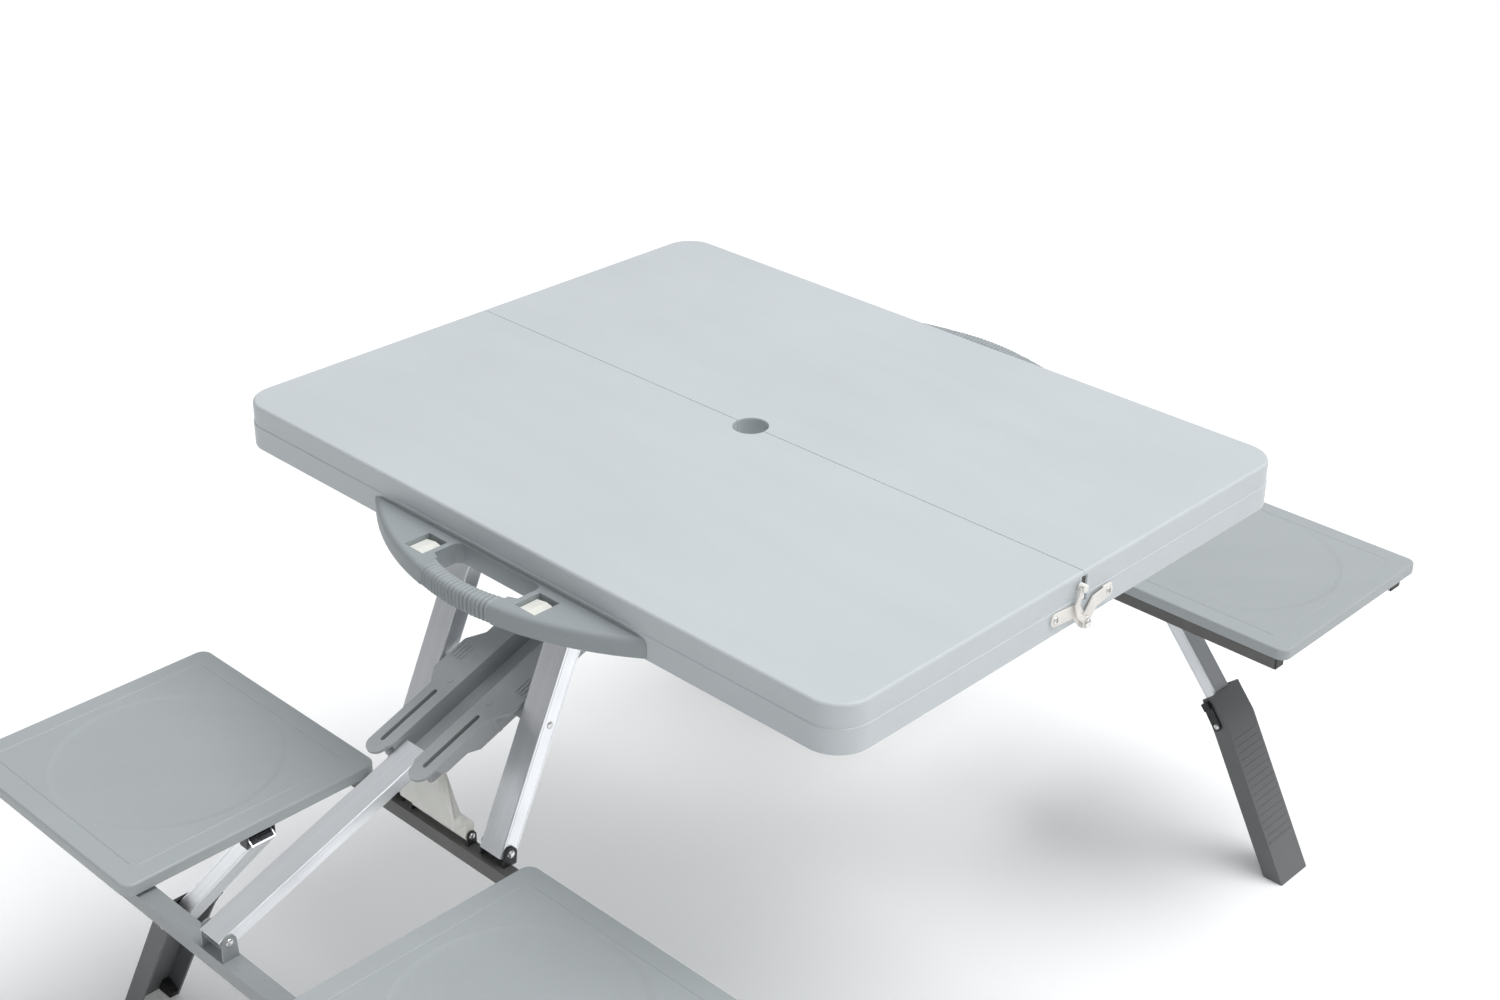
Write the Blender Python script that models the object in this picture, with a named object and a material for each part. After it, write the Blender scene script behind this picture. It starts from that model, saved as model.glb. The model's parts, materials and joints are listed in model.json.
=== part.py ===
"""Folding suitcase picnic table: two half tops hinged along the middle, with two
benches on folding legs that stow inside the half tops.

+X runs along the middle seam, +Y points to the back bench and +Z up. The origin
is on the ground under the middle of the table. Lengths are in metres.
"""

import math

import bmesh
import bpy
from mathutils import Matrix, Vector

# Driving dimensions
GAP = 0.0003                # clearance between pieces that touch
TOP_Z = 0.660               # height of the tabletop
TOP_LENGTH = 0.850
TOP_WIDTH = 0.667
TOP_DEPTH = 0.050           # height of the half tops' sides
TOP_CORNER = 0.036
WALL = 0.003                # moulded wall of the half tops
UMBRELLA_RADIUS = 0.0185

LEG_PIVOT = (0.2988, 0.6365)     # y, z of the axle under the top
BENCH_PIVOT = (0.416, 0.387)     # y, z of the pin at a leg's foot
LEG_X = 0.076                    # middle of a leg
LEG_WIDTH, LEG_DEPTH = 0.030, 0.020
HUB_ON_LEG = 0.1453              # from the leg's axle to the hub's trunnion

BEAM_PIVOT = (0.677, 0.3897)     # y, z where the stay meets the outer beam
SEAT_TOP = 0.388
SEAT_X = (0.116, 0.418)
SEAT_Y = (0.412, 0.700)
SEAT_SKIRT = 0.013
SEAT_PLATE = 0.003

RAIL_Y = (0.416, 0.432)
RAIL_Z = (0.359, 0.375)
BEAM_Y = (0.667, 0.687)
BEAM_Z = (0.355, 0.371)
PROP_PIVOT = (0.422, 0.385)      # y, z
PROP_FOLD = math.radians(100)

GROUND_LEG_Y = 0.550             # plane that a seat's own leg folds in
GROUND_HINGE = (0.124, 0.3665)   # x, z
GROUND_KNEE = (0.2863, 0.178)
GROUND_TIP_X = 0.385

HANDLE_HALF = 0.195              # half length of the handle
HANDLE_REACH = 0.398             # y of the handle's outer edge
HANDLE_Z = (0.6105, 0.6320)

GRIP_WIDTH = 0.018               # the grip, outside the finger opening
GRIP_INNER_RADIUS = 0.145
FINGER_HALF = 0.060              # half length of the finger opening
WELL_X = 0.080                   # middle of a latch well
WELL_HALF = 0.0135
WELL_Y = (0.3460, 0.3760)

HINGE_PIN_Z = 0.6085             # rivet of the end hinges
PEG = (0.008, 0.6480)            # y, z of the nylon peg, on the front half
PLATE = 0.0016                   # thickness of the hinge plates and the lock arm
PLATE_HALF = 0.0068              # half width of a hinge plate
PLATE_Z = 0.6275                 # level of the hinge plates' screws
PLATE_CRANK = (0.0135, 0.6245)   # y, z where a plate turns down to the rivet
RIVET_RADIUS = 0.0025
ARM_HALF = 0.0030                # half width of the lock arm
REBATE_Y, REBATE_Z = 0.0045, 0.629   # notch in the seam's end that clears the peg


def clear_scene():
    for old in list(bpy.data.objects):
        bpy.data.objects.remove(old, do_unlink=True)


def finish(name, colour, roughness, metallic=0.0):
    made = bpy.data.materials.new(name)
    made.use_nodes = True
    shader = made.node_tree.nodes["Principled BSDF"]
    shader.inputs["Base Color"].default_value = (*colour, 1.0)
    shader.inputs["Roughness"].default_value = roughness
    shader.inputs["Metallic"].default_value = metallic
    return made


clear_scene()
TOP_PLASTIC = finish("top_plastic", (0.60, 0.64, 0.66), 0.45)
HANDLE_PLASTIC = finish("handle_plastic", (0.36, 0.39, 0.40), 0.45)
HUB_PLASTIC = finish("hub_plastic", (0.33, 0.34, 0.35), 0.5)
SEAT_PLASTIC = finish("seat_plastic", (0.40, 0.43, 0.44), 0.5)
LEG_PLASTIC = finish("leg_plastic", (0.20, 0.21, 0.22), 0.5)
ALUMINIUM = finish("aluminium", (0.78, 0.79, 0.81), 0.3, 1.0)
DARK_STEEL = finish("dark_steel", (0.13, 0.13, 0.12), 0.45, 0.6)
BLACK_STEEL = finish("black_steel", (0.03, 0.03, 0.03), 0.4, 0.3)
WHITE_ENAMEL = finish("white_enamel", (0.86, 0.83, 0.79), 0.35)
NYLON = finish("nylon", (0.84, 0.84, 0.76), 0.35)


def turned(point, angle):
    """A 2-D point turned about the origin."""
    a, b = point
    return (a * math.cos(angle) - b * math.sin(angle),
            a * math.sin(angle) + b * math.cos(angle))


def arc(centre, radius, first, last, steps):
    """Points of an arc, angles in degrees, both ends included."""
    angles = [math.radians(first + (last - first) * i / steps) for i in range(steps + 1)]
    return [(centre[0] + radius * math.cos(a), centre[1] + radius * math.sin(a))
            for a in angles]


def rectangle(a0, a1, b0, b1):
    return [(a0, b0), (a1, b0), (a1, b1), (a0, b1)]


def rounded(a0, a1, b0, b1, radius, steps=4):
    """A rectangle with round corners, anticlockwise."""
    return (arc((a1 - radius, b0 + radius), radius, 270, 360, steps)
            + arc((a1 - radius, b1 - radius), radius, 0, 90, steps)
            + arc((a0 + radius, b1 - radius), radius, 90, 180, steps)
            + arc((a0 + radius, b0 + radius), radius, 180, 270, steps))


def capsule(start, end, radius, steps=8):
    """The outline of a bar with two round ends."""
    way = math.degrees(math.atan2(end[1] - start[1], end[0] - start[0]))
    return (arc(start, radius, way + 90, way + 270, steps)
            + arc(end, radius, way - 90, way + 90, steps))


def prism(outline, axis, low, high):
    """A closed solid: an outline in the plane across an axis, extruded along it."""
    mesh = bmesh.new()
    places = {"X": lambda a, b: (low, a, b), "Y": lambda a, b: (a, low, b),
              "Z": lambda a, b: (a, b, low)}[axis]
    face = mesh.faces.new([mesh.verts.new(places(a, b)) for a, b in outline])
    new = bmesh.ops.extrude_face_region(mesh, geom=[face])["geom"]
    along = Vector([(high - low) * (axis == name) for name in "XYZ"])
    bmesh.ops.translate(mesh, vec=along,
                        verts=[item for item in new if isinstance(item, bmesh.types.BMVert)])
    bmesh.ops.recalc_face_normals(mesh, faces=mesh.faces)
    return mesh


def block(x0, x1, y0, y1, z0, z1):
    return prism(rectangle(x0, x1, y0, y1), "Z", z0, z1)


def rod(axis, centre, radius, low, high, sides=20):
    return prism(arc(centre, radius, 0, 360 - 360 / sides, sides - 1), axis, low, high)


def soften(mesh, width, choose, segments=2):
    """Rounds the edges that choose(edge) picks."""
    bmesh.ops.bevel(mesh, geom=[edge for edge in mesh.edges if choose(edge)], offset=width,
                    segments=segments, profile=0.5, affect="EDGES", material=-1)
    return mesh


def lies_at(axis, value):
    """Picks the edges that lie in one plane across an axis."""
    return lambda edge: all(abs(v.co[axis] - value) < 1e-6 for v in edge.verts)


def set_down(name, mesh, sides, pivot, tilt, material=None):
    """Makes an object of a mesh drawn for the back right quarter."""
    side_x, side_y = sides
    bmesh.ops.transform(mesh, matrix=Matrix.Diagonal((side_x, side_y, 1, 1)), verts=mesh.verts)
    if side_x * side_y < 0:
        bmesh.ops.reverse_faces(mesh, faces=mesh.faces)
    data = bpy.data.meshes.new(name)
    mesh.to_mesh(data)
    mesh.free()
    made = bpy.data.objects.new(name, data)
    bpy.context.scene.collection.objects.link(made)
    made.location = (side_x * pivot[0], side_y * pivot[1], pivot[2])
    made.rotation_euler = (side_y * tilt[0], side_x * tilt[1], 0)
    if material:
        data.materials.append(material)
    return made


def piece(name, mesh, material, sides=(1, 1), pivot=(0, 0, 0), tilt=(0, 0),
          add=(), cut=(), after=()):
    """One sub-part: a mesh about its pivot, with solids joined to it, cut from it, then
    joined to what is left."""
    made = set_down(name, mesh, sides, pivot, tilt, material)
    for step, operation, solids in (("add", "UNION", add), ("cut", "DIFFERENCE", cut),
                                    ("after", "UNION", after)):
        for number, solid in enumerate(solids):
            tool = set_down(f"{name}_{step}_{number}", solid, sides, pivot, tilt)
            tool.hide_render = True
            tool.display_type = "WIRE"
            change = made.modifiers.new(operation.title(), "BOOLEAN")
            change.operation = operation
            change.object = tool
    made.data.shade_smooth()
    made.data.set_sharp_from_angle(angle=math.radians(35))
    return made


# ------------------------------------------------------------------ the half tops

def top_outline(inset, notch):
    """Half of the tabletop in plan, with the umbrella hole's half notch in the seam."""
    half = TOP_LENGTH / 2 - inset
    outer = TOP_WIDTH / 2 - inset
    seam = GAP / 2 + (inset if inset > 0 else 0)
    corner = TOP_CORNER - inset
    reach = math.sqrt(notch ** 2 - seam ** 2)
    side = math.degrees(math.atan2(seam, reach))
    return ([(half, seam)]
            + arc((half - corner, outer - corner), corner, 0, 90, 8)
            + arc((corner - half, outer - corner), corner, 90, 180, 8)
            + [(-half, seam)]
            + arc((0, 0), notch, 180 - side, side, 12))


def half_top(name, side_y):
    """A moulded tray, open underneath, with a rebate for the hinge peg at each end."""
    z0 = TOP_Z - TOP_DEPTH
    shell = prism(top_outline(0, UMBRELLA_RADIUS), "Z", z0, TOP_Z)
    soften(shell, 0.0025, lies_at(2, TOP_Z))
    cavity = prism(top_outline(WALL, UMBRELLA_RADIUS + WALL), "Z", z0 - 0.02, TOP_Z - WALL)
    rebates = [block(*sorted((side * 0.412, side * 0.430)), -0.01, REBATE_Y, REBATE_Z, 0.700)
               for side in (-1, 1)]
    piece(name, shell, TOP_PLASTIC, (1, side_y), cut=[cavity] + rebates)


def end_hinge(end, side_x):
    """Two cranked plates on one rivet, and a lock arm that hooks on a nylon peg."""
    face = TOP_LENGTH / 2 + GAP
    pin = (0.0, HINGE_PIN_Z)
    for half, side_y, start, screw_y in (("front", -1, face, 0.044),
                                         ("back", 1, face + PLATE + GAP, 0.034)):
        plate = prism(capsule((screw_y, PLATE_Z), PLATE_CRANK, PLATE_HALF), "X",
                      start, start + PLATE)
        crank = prism(capsule(PLATE_CRANK, pin, PLATE_HALF), "X", start, start + PLATE)
        if half == "front":
            rivet = [rod("X", pin, RIVET_RADIUS, start + 0.0004, face + 0.0078)]
            piece(f"hinge_plate_{half}_{end}", plate, WHITE_ENAMEL, (side_x, side_y),
                  add=[crank] + rivet)
        else:
            pad = [block(face, start + 0.0010, 0.028, 0.040, 0.6215, 0.6335)]
            hole = [rod("X", pin, RIVET_RADIUS + GAP, 0.4, 0.5)]
            piece(f"hinge_plate_{half}_{end}", plate, WHITE_ENAMEL, (side_x, side_y),
                  add=[crank] + pad, cut=hole)
    low = face + 2 * (PLATE + GAP) + 0.0004
    high = low + PLATE
    bend = [(0.0, HINGE_PIN_Z), (0.0135, 0.622), (0.0170, 0.634), (0.0110, PEG[1] - 0.001)]
    bars = [prism(capsule(a, b, ARM_HALF), "X", low, high)
            for a, b in zip(bend, bend[1:])]
    eye = prism(arc(pin, 0.0062, 0, 342, 19), "X", low, high)
    local = Matrix.Translation((-low, 0, -HINGE_PIN_Z))
    solids = [eye] + bars
    for solid in solids:
        bmesh.ops.transform(solid, matrix=local, verts=solid.verts)
    piece(f"lock_arm_{end}", solids[0], WHITE_ENAMEL, (side_x, -1), (low, 0, HINGE_PIN_Z),
          add=solids[1:], cut=[rod("X", (0, 0), RIVET_RADIUS + GAP, -0.01, 0.01)])
    peg = rod("X", PEG, 0.0042, face, low + 0.0030)
    piece(f"lock_peg_{end}", peg, NYLON, (side_x, -1),
          cut=[prism(capsule(bend[3], bend[2], ARM_HALF + GAP), "X", low - GAP, high + GAP)])


def handle(name, side_y):
    """Half of the carrying handle: a crescent with a finger opening and two latch wells."""
    wall = TOP_WIDTH / 2 + GAP
    rise = HANDLE_REACH - wall
    radius = (HANDLE_HALF ** 2 + rise ** 2) / (2 * rise)
    spread = math.degrees(math.asin(HANDLE_HALF / radius))
    centre = (0, HANDLE_REACH - radius)
    body = prism(arc(centre, radius, 90 - spread, 90 + spread, 28), "Z", *HANDLE_Z)
    soften(body, 0.006, lambda edge: lies_at(2, HANDLE_Z[1])(edge)
           and any(v.co.y > wall + 1e-4 for v in edge.verts), 3)
    strip = wall + 0.0035
    inner_centre = (0, HANDLE_REACH - GRIP_WIDTH - GRIP_INNER_RADIUS)
    opening = prism([(-FINGER_HALF, strip), (FINGER_HALF, strip)]
                    + arc(inner_centre, GRIP_INNER_RADIUS, 65.5, 114.5, 12), "Z", 0.60, 0.65)
    wells = [block(x - WELL_HALF, x + WELL_HALF, *WELL_Y, 0.60, 0.65)
             for x in (-WELL_X, WELL_X)]
    piece(name, body, HANDLE_PLASTIC, (1, side_y), cut=[opening] + wells)


def latches():
    """Two nylon slides in the front handle, sprung outwards."""
    half, top = WELL_HALF - 0.0005, 0.6245
    for end, x in (("left", -WELL_X), ("right", WELL_X)):
        pad = block(x - half, x + half, WELL_Y[0] + 0.0040, WELL_Y[1] - 0.0005, 0.6135, top)
        soften(pad, 0.0015, lies_at(2, top))
        piece(f"handle_latch_{end}", pad, NYLON, (1, -1))


# ------------------------------------------------------------------ legs and stays

def along_leg(distance):
    """The y and z of a point on a leg's middle line."""
    run = (BENCH_PIVOT[0] - LEG_PIVOT[0], BENCH_PIVOT[1] - LEG_PIVOT[1])
    share = distance / math.hypot(*run)
    return LEG_PIVOT[0] + run[0] * share, LEG_PIVOT[1] + run[1] * share


HUB = along_leg(HUB_ON_LEG)
LEG_LENGTH = math.dist(LEG_PIVOT, BENCH_PIVOT)
LEG_TILT = math.atan2(BENCH_PIVOT[0] - LEG_PIVOT[0], LEG_PIVOT[1] - BENCH_PIVOT[1])
STAY_TILT = math.atan2(HUB[1] - BEAM_PIVOT[1], BEAM_PIVOT[0] - HUB[0])
STAY_REACH = math.dist(HUB, BEAM_PIVOT)


def legs(row, side_y):
    """Two aluminium box tubes that hang from one axle under the half top."""
    for end, side_x in (("left", -1), ("right", 1)):
        wide, deep = LEG_WIDTH / 2, LEG_DEPTH / 2
        tube = block(-wide, wide, -deep, deep, -LEG_LENGTH - 0.006, 0.008)
        hollow = block(0.0015 - wide, wide - 0.0015, 0.0015 - deep, deep - 0.0015, -0.4, 0.1)
        holes = [rod("X", (0, z), radius, -0.02, far) for z, radius, far in
                 ((0, 0.0043, 0.02), (-LEG_LENGTH, 0.0033, 0.02), (-HUB_ON_LEG, 0.0053, 0))]
        piece(f"{row}_leg_{end}", tube, ALUMINIUM, (side_x, side_y),
              (LEG_X, *LEG_PIVOT), (LEG_TILT, 0), cut=[hollow] + holes)


def leg_hangers(row, side_y):
    """Two steel hangers under the half top, each with the short axle of one leg."""
    y, z = LEG_PIVOT
    for end, side_x in (("left", -1), ("right", 1)):
        base = block(0.052, 0.100, y - 0.010, y + 0.010, TOP_Z - WALL - GAP - 0.002,
                     TOP_Z - WALL - GAP)
        cheeks = [prism(capsule((y, z), (y, TOP_Z - WALL - 0.012), 0.0080), "X",
                        x - 0.001, x + 0.001) for x in (0.055, 0.097)]
        cheeks += [block(x - 0.001, x + 0.001, y - 0.008, y + 0.008, z + 0.004, 0.6560)
                   for x in (0.055, 0.097)]
        axle = rod("X", LEG_PIVOT, 0.0040, 0.0545, 0.0975)
        piece(f"{row}_leg_hanger_{end}", base, BLACK_STEEL, (side_x, side_y), add=cheeks + [axle])


def hub(row, side_y):
    """The moulded channel between the legs that the stay tube slides up."""
    deck_top, deck, floor = 0.0120, 0.0030, -0.0083
    groove, lobe, shoulder = 0.0168, 0.0440, 0.0575       # half widths
    outer_end, inner_end = 0.122, -0.108
    slot_x, slot_half = 0.031, 0.0018
    skin, depth = 0.0022, floor - 0.0020
    tip = 0.0115
    waist = [(groove, outer_end - 0.018), (0.0205, outer_end - 0.012), (0.0205, outer_end - 0.003)]
    rim = (waist + arc((lobe - tip, outer_end - tip), tip, 120, 0, 6)
           + [(lobe, 0.030), (shoulder, 0.018), (shoulder, -0.030), (lobe, -0.045),
              (lobe, inner_end)])
    outline = rim + [(-x, y) for x, y in reversed(rim)]
    slots = [prism(capsule((x, 0.036), (x, 0.104), slot_half, 4), "Z", 0, 0.02)
             for x in (-slot_x, slot_x)]
    body = prism(outline, "Z", deck_top - deck, deck_top)
    gutter = block(-groove - skin, groove + skin, inner_end, outer_end - 0.018,
                   depth, deck_top - 0.001)
    skirts = [block(*sorted((side * (lobe - 0.0025), side * lobe)), inner_end + 0.002, 0.100,
                    depth, deck_top - 0.001) for side in (-1, 1)]
    bosses = [rod("X", (0, 0), 0.0085, *sorted((side * 0.0180, side * 0.0600)))
              for side in (-1, 1)]
    trunnions = [rod("X", (0, 0), 0.0050, *sorted((side * 0.0590, side * 0.0640)))
                 for side in (-1, 1)]
    channel = block(-groove, groove, inner_end - 0.01, outer_end + 0.01, floor, deck_top + 0.01)
    piece(f"{row}_hub", body, HUB_PLASTIC, (1, side_y), (0, *HUB), (-STAY_TILT, 0),
          add=[gutter] + skirts + bosses + trunnions, cut=[channel] + slots)


def stay(row, side_y):
    """The aluminium tube from the hub's channel down to the outer beam."""
    outer, inner = STAY_REACH + 0.008, 0.0900
    tube = block(-0.015, 0.015, inner, outer, -0.008, 0.006)
    hollow = block(-0.0137, 0.0137, 0, 0.5, -0.0067, 0.0047)
    piece(f"{row}_stay_tube", tube, ALUMINIUM, (1, side_y), (0, *HUB), (-STAY_TILT, 0),
          cut=[hollow])


def strut(row, side_y):
    """A flat steel strut under the top that holds the hub's inner end when open."""
    y, z = 0.100, 0.650
    pin_v, pin_u = 0.011, -0.100
    foot = (HUB[0] + pin_u * math.cos(STAY_TILT) + pin_v * math.sin(STAY_TILT),
            HUB[1] - pin_u * math.sin(STAY_TILT) + pin_v * math.cos(STAY_TILT))
    length = math.dist((y, z), foot)
    tilt = math.atan2(z - foot[1], foot[0] - y)
    bar = prism(capsule((0, 0), (length, 0), 0.0022, 6), "X", -0.010, 0.010)
    piece(f"{row}_strut", bar, DARK_STEEL, (1, side_y), (0, y, z), (-tilt, 0),
          cut=[rod("X", (0, 0), 0.0014, -0.02, 0.02, 12)])
    base = block(-0.0130, 0.0130, y - 0.010, y + 0.010, 0.6547, TOP_Z - WALL - GAP)
    ears = [block(*sorted((side * 0.0103, side * 0.0130)), y - 0.004, y + 0.004, 0.6470, 0.6550)
            for side in (-1, 1)]
    pin = rod("X", (y, z), 0.0011, -0.012, 0.012, 12)
    piece(f"{row}_strut_bracket", base, BLACK_STEEL, (1, side_y), add=ears + [pin])


# ------------------------------------------------------------------ benches

def rail(row, side_y):
    """The square steel tube under the seats' inner edge, with the leg and prop ears."""
    tube = block(-0.405, 0.405, *RAIL_Y, *RAIL_Z)
    hollow = block(-0.5, 0.5, RAIL_Y[0] + 0.0012, RAIL_Y[1] - 0.0012,
                   RAIL_Z[0] + 0.0012, RAIL_Z[1] - 0.0012)
    y, z = BENCH_PIVOT
    ear = [(y - 0.006, RAIL_Z[1] - 0.001), (y + 0.010, RAIL_Z[1] - 0.001)]
    ear += arc((y, z), 0.0075, 0, 180, 8)
    ears = [prism(ear, "X", x - 0.001, x + 0.001)
            for x in (-0.0925, -0.0595, 0.0595, 0.0925)]
    pins = [rod("X", (y, z), 0.0030, x - 0.0175, x + 0.0175, 16) for x in (-LEG_X, LEG_X)]
    foot_y = PROP_PIVOT[0]
    tab = [(foot_y - 0.0055, RAIL_Z[1] - 0.001), (foot_y + 0.0055, RAIL_Z[1] - 0.001)]
    tab += arc(PROP_PIVOT, 0.0055, 0, 180, 8)
    tabs = [prism(tab, "X", x - 0.001, x + 0.001) for x in (-0.0425, 0.0425)]
    pins.append(rod("X", PROP_PIVOT, 0.0022, -0.0435, 0.0435, 12))
    piece(f"{row}_seat_rail", tube, DARK_STEEL, (1, side_y), add=ears + tabs + pins, cut=[hollow])


def beam(row, side_y):
    """The painted outer tube that ties a bench's seats, with ears for the stay."""
    tube = block(-0.405, 0.405, *BEAM_Y, *BEAM_Z)
    hollow = block(-0.5, 0.5, BEAM_Y[0] + 0.0014, BEAM_Y[1] - 0.0014,
                   BEAM_Z[0] + 0.0014, BEAM_Z[1] - 0.0014)
    y, z = BEAM_PIVOT
    ear = [(y - 0.0085, BEAM_Z[1] - 0.001), (y + 0.0085, BEAM_Z[1] - 0.001)]
    ear += arc((y, z), 0.0075, 0, 180, 8)
    ears = [prism(ear, "X", *sorted((side * 0.0154, side * 0.0174))) for side in (-1, 1)]
    piece(f"{row}_outer_beam", tube, SEAT_PLASTIC, (1, side_y), add=ears, cut=[hollow])


def prop(row, side_y):
    """The nylon block on the rail that the stay rests on. It folds down over the rail,
    so its lugs are drawn as they lie folded, clear of the rail and the hub."""
    half, thick, far = 0.0405, 0.0205, 0.070
    body = prism([(-half, 0.0150), (half, 0.0150), (half, 0.0260), (0.020, far),
                  (-0.022, far), (-half, 0.0260)], "Y", 0.0090, thick)
    soften(body, 0.003, lies_at(1, thick))
    folded = [(0.0, -0.0060), (0.0106, -0.0060), (0.0106, -0.0200), (0.0250, -0.0200),
              (0.0250, -0.0117), (0.0155, -0.0117), (0.0155, 0.0010), (0.0120, 0.0045),
              (-0.0020, 0.0045)]
    lug = [turned(point, PROP_FOLD) for point in folded]
    lugs = [prism(lug, "X", *sorted((side * 0.0180, side * (half - 0.0005)))) for side in (-1, 1)]
    knuckle = rod("X", (0, 0), 0.0062, -half, half)
    piece(f"{row}_prop", body, NYLON, (1, side_y), (0, *PROP_PIVOT), add=lugs + [knuckle],
          cut=[rod("X", (0, 0), 0.0025, -0.05, 0.05, 12)])


def seat(row, end, side_x, side_y):
    """A moulded seat plate with a skirt; its legs hang from a steel bracket."""
    plate = prism(rounded(*SEAT_X, *SEAT_Y, 0.012), "Z", SEAT_TOP - SEAT_SKIRT, SEAT_TOP)
    soften(plate, 0.002, lies_at(2, SEAT_TOP))
    inner = prism(rounded(SEAT_X[0] + 0.003, SEAT_X[1] - 0.003, SEAT_Y[0] + 0.003,
                          SEAT_Y[1] - 0.003, 0.009), "Z", 0.3, SEAT_TOP - SEAT_PLATE)
    beam_middle = sum(BEAM_Y) / 2
    bosses = [rod("Z", (x, beam_middle), 0.0060, BEAM_Z[1] + GAP, SEAT_TOP - 0.001, 12)
              for x in (0.160, 0.374)]
    bosses += [rod("Z", (x, sum(RAIL_Y) / 2), 0.0060, RAIL_Z[1] + GAP, SEAT_TOP - 0.001, 12)
               for x in (0.160, 0.374)]
    piece(f"{row}_seat_{end}", plate, SEAT_PLASTIC, (side_x, side_y), cut=[inner], after=bosses)


GROUND_TILT = math.atan2(GROUND_HINGE[1] - GROUND_KNEE[1], GROUND_KNEE[0] - GROUND_HINGE[0])
GROUND_UPPER = math.dist(GROUND_HINGE, GROUND_KNEE)
SHIN_TILT = math.atan2(GROUND_KNEE[1], GROUND_TIP_X - GROUND_KNEE[0])


def ground_leg(row, end, side_x, side_y):
    """A seat's own leg: an aluminium tube, a knee and a moulded channel shin."""
    sides = (side_x, side_y)
    x, z = GROUND_HINGE
    y = GROUND_LEG_Y
    base = block(x - 0.004, x + 0.050, y - 0.030, y + 0.030, 0.3825, SEAT_TOP - SEAT_PLATE - GAP)
    cheeks = [prism([(x - 0.004, z - 0.008), (x + 0.008, z - 0.008), (x + 0.016, 0.3835),
                     (x - 0.004, 0.3835)], "Y", y + offset - 0.001, y + offset + 0.001)
              for offset in (-0.0155, 0.0155)]
    pin = rod("Y", (x, z), 0.0025, y - 0.0165, y + 0.0165, 14)
    piece(f"{row}_leg_bracket_{end}", base, BLACK_STEEL, sides, add=cheeks + [pin])

    tube = block(-0.003, GROUND_UPPER + 0.006, -0.014, 0.014, -0.009, 0.009)
    hollow = block(-0.05, 0.40, -0.0126, 0.0126, -0.0076, 0.0076)
    holes = [rod("Y", (u, 0), radius, -0.02, 0.02, 14)
             for u, radius in ((0, 0.0028), (GROUND_UPPER, 0.0033))]
    piece(f"{row}_upper_leg_{end}", tube, ALUMINIUM, sides, (x, y, z), (0, GROUND_TILT),
          cut=[hollow] + holes)

    turn = SHIN_TILT - GROUND_TILT          # the tail above the knee leans back by this
    down = GROUND_KNEE[1] / math.sin(SHIN_TILT)
    lean = 1 / math.tan(SHIN_TILT)
    web, lip, skin = 0.0140, -0.0090, 0.0026
    tail = [turned((-0.036, lip + 0.006), turn), turned((-0.036, web), turn)]
    outline = ([(0.010, lip)] + [tail[0], tail[1], (0.002, web + 0.0005), (down + web * lean, web),
                                 (down + lip * lean, lip)])
    shin = prism(outline, "Y", -0.028, 0.028)
    room_tail = [turned((-0.060, lip - 0.030), turn), turned((-0.060, web - skin), turn)]
    room = prism([(0.010, lip - 0.030)] + room_tail
                 + [(0.002, web - skin + 0.0005), (down + 0.030, web - skin),
                    (down + 0.030, lip - 0.030)], "Y", -0.0252, 0.0252)
    pin = rod("Y", (0, 0), 0.0030, -0.0270, 0.0270, 14)
    piece(f"{row}_shin_{end}", shin, LEG_PLASTIC, sides, (GROUND_KNEE[0], y, GROUND_KNEE[1]),
          (0, SHIN_TILT), cut=[room], after=[pin])

    latch = prism(capsule((0, 0), (-0.026, 0.002), 0.0060), "Y", -0.0030, 0)
    thumb = block(-0.032, -0.022, -0.0062, -0.0005, -0.003, 0.007)
    piece(f"{row}_knee_latch_{end}", latch, BLACK_STEEL, sides,
          (GROUND_KNEE[0], y - 0.028 - GAP, GROUND_KNEE[1]), (0, GROUND_TILT), add=[thumb])


# ------------------------------------------------------------------ assembly

for row, side_y in (("front", -1), ("back", 1)):
    half_top(f"{row}_half_top", side_y)
    handle(f"{row}_handle", side_y)
    leg_hangers(row, side_y)
    legs(row, side_y)
    hub(row, side_y)
    stay(row, side_y)
    strut(row, side_y)
    rail(row, side_y)
    beam(row, side_y)
    prop(row, side_y)
    for end, side_x in (("left", -1), ("right", 1)):
        seat(row, end, side_x, side_y)
        ground_leg(row, end, side_x, side_y)
latches()
for end, side_x in (("left", -1), ("right", 1)):
    end_hinge(end, side_x)
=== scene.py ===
"""The looks of the folding suitcase picnic table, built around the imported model.

+X runs along the table's seam, +Y points to the back bench and +Z up. The origin is on
the ground under the middle of the table. Lengths are in metres. Each quarter of the table
is drawn as the back right one and mirrored into its place.
"""

import json
import math

import bmesh
import bpy
from mathutils import Euler, Matrix, Vector


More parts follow.
